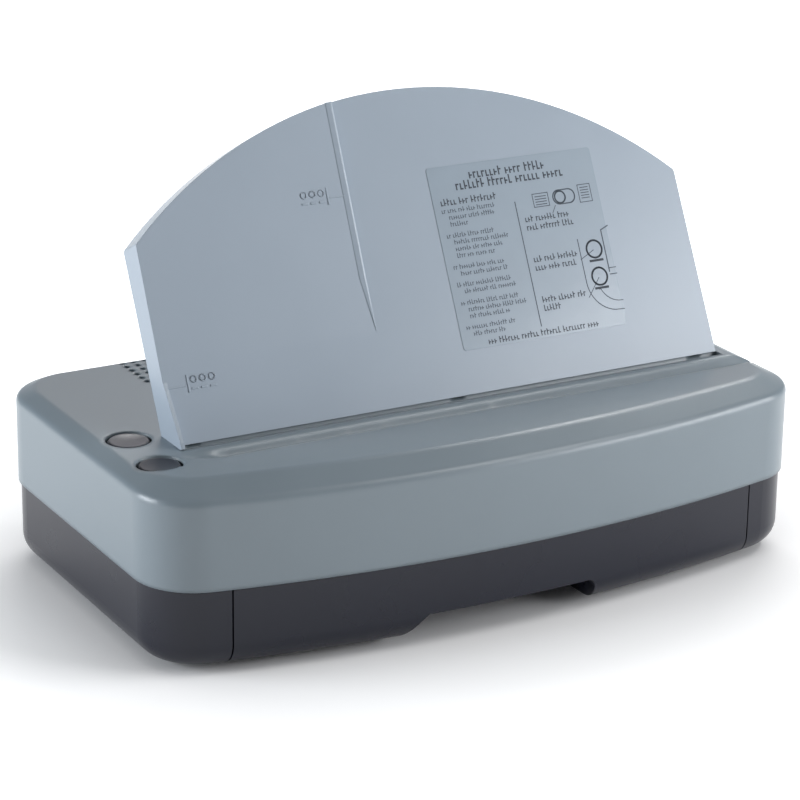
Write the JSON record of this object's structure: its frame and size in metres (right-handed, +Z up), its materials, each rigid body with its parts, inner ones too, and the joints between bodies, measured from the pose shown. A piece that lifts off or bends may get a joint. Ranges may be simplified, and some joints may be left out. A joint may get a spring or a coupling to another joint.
{
  "type": "electric hole punch",
  "caption": "Electric desk hole punch for letter paper, with a leaning paper guide, push buttons and a chip drawer under the front.",
  "frame": {"origin": "on the table under the middle of the machine", "axes": "+Z up, -Y to the front where the sheet is put in, +X along the machine to the right"},
  "size_m": [0.3286, 0.1924, 0.2114],
  "materials": {
    "cover_plastic": "moulded, fine grain",
    "guide_plastic": "moulded, smooth",
    "base_plastic": "moulded, fine grain",
    "button_plastic": "moulded, smooth",
    "label_film": "printed film",
    "rubber": "matt",
    "inner_plastic": "moulded",
    "acetal": "moulded, natural",
    "board": "laminate",
    "steel": "zinc plated",
    "hard_steel": "hardened and ground",
    "spring_steel": "drawn wire",
    "screw_steel": "black zinc",
    "motor_can": "drawn can",
    "brass": "turned"
  },
  "bodies": {
    "chassis": {"top_cover": "cover_plastic", "base_housing": "base_plastic", "rubber_feet": "rubber", "paper_guide": "guide_plastic", "instruction_label": "label_film", "start_spring": "spring_steel", "reverse_spring": "spring_steel", "button_carrier": "inner_plastic", "control_board": "board", "button_switches": "inner_plastic", "board_screws": "screw_steel", "punch_frame": "steel", "die_plate": "hard_steel", "paper_stop": "steel", "die_screws": "screw_steel", "pin_bushes": "brass", "side_plate_left": "steel", "side_plate_right": "steel", "frame_screws": "screw_steel", "bar_guides": "acetal", "screw_bearings": "acetal", "motor": "motor_can", "motor_bracket": "steel", "motor_screws": "screw_steel", "bracket_screws": "screw_steel", "chip_chute": "inner_plastic", "limit_switch": "inner_plastic", "dc_jack": "inner_plastic", "cover_screws": "screw_steel"},
    "drawer": {"chip_drawer": "base_plastic"},
    "start": {"start_button": "button_plastic", "start_ring": "steel"},
    "reverse": {"reverse_button": "button_plastic", "reverse_ring": "steel"},
    "selector": {"selector_knob": "button_plastic", "selector_bar": "steel"},
    "motor_rotor": {"motor_shaft": "steel", "motor_pinion": "brass"},
    "screw": {"lead_screw": "steel", "screw_gear": "acetal"},
    "cam": {"cam_bar": "hard_steel", "drive_nut": "brass"},
    "pin_1": {"punch_pin_1": "hard_steel", "pin_dowel_1": "steel"},
    "pin_2": {"punch_pin_2": "hard_steel", "pin_dowel_2": "steel"},
    "pin_3": {"punch_pin_3": "hard_steel", "pin_dowel_3": "steel"},
    "pin_4": {"punch_pin_4": "hard_steel", "pin_dowel_4": "steel"}
  },
  "joints": [
    {"name": "drawer_slide", "type": "slide", "parent": "chassis", "child": "drawer", "axis": [0, -1, 0], "range_m": [0, 0.075]},
    {"name": "start_press", "type": "slide", "parent": "chassis", "child": "start", "axis": [0, 0, -1], "range_m": [0, 0.002], "stiffness_N_per_m": 450, "springref_m": -0.001, "deforming": ["start_spring"]},
    {"name": "reverse_press", "type": "slide", "parent": "chassis", "child": "reverse", "axis": [0, 0, -1], "range_m": [0, 0.002], "stiffness_N_per_m": 450, "springref_m": -0.001, "deforming": ["reverse_spring"]},
    {"name": "selector_slide", "type": "slide", "parent": "chassis", "child": "selector", "axis": [1, 0, 0], "range_m": [0, 0.014]},
    {"name": "screw_turn", "type": "hinge", "parent": "chassis", "child": "screw", "pos_m": [-0.08, 0.0171, 0.03594], "axis": [1, 0, 0], "range_deg": [0, 1080]},
    {"name": "motor_turn", "type": "hinge", "parent": "chassis", "child": "motor_rotor", "pos_m": [-0.11, 0.05, 0.04788], "axis": [1, 0, 0], "range_deg": [-3240, 0]},
    {"name": "cam_slide", "type": "slide", "parent": "chassis", "child": "cam", "axis": [1, 0, 0], "range_m": [0, 0.012]},
    {"name": "pin_1_stroke", "type": "slide", "parent": "chassis", "child": "pin_1", "axis": [0, -0.8949, 0.4462], "range_m": [0, 0.009]},
    {"name": "pin_2_stroke", "type": "slide", "parent": "chassis", "child": "pin_2", "axis": [0, -0.8949, 0.4462], "range_m": [0, 0.009]},
    {"name": "pin_3_stroke", "type": "slide", "parent": "chassis", "child": "pin_3", "axis": [0, -0.8949, 0.4462], "range_m": [0, 0.009]},
    {"name": "pin_4_stroke", "type": "slide", "parent": "chassis", "child": "pin_4", "axis": [0, -0.8949, 0.4462], "range_m": [0, 0.009]}
  ],
  "couplings": [
    {"joint": "motor_turn", "follows": "screw_turn", "ratio": -3},
    {"joint": "cam_slide", "follows": "screw_turn", "m_per_rad": 0.00063662},
    {"joint": "pin_1_stroke", "follows": "screw_turn", "m_per_rad": 0.00047746},
    {"joint": "pin_2_stroke", "follows": "screw_turn", "m_per_rad": 0.00047746},
    {"joint": "pin_3_stroke", "follows": "screw_turn", "m_per_rad": 0.00047746},
    {"joint": "pin_4_stroke", "follows": "screw_turn", "m_per_rad": 0.00047746}
  ]
}
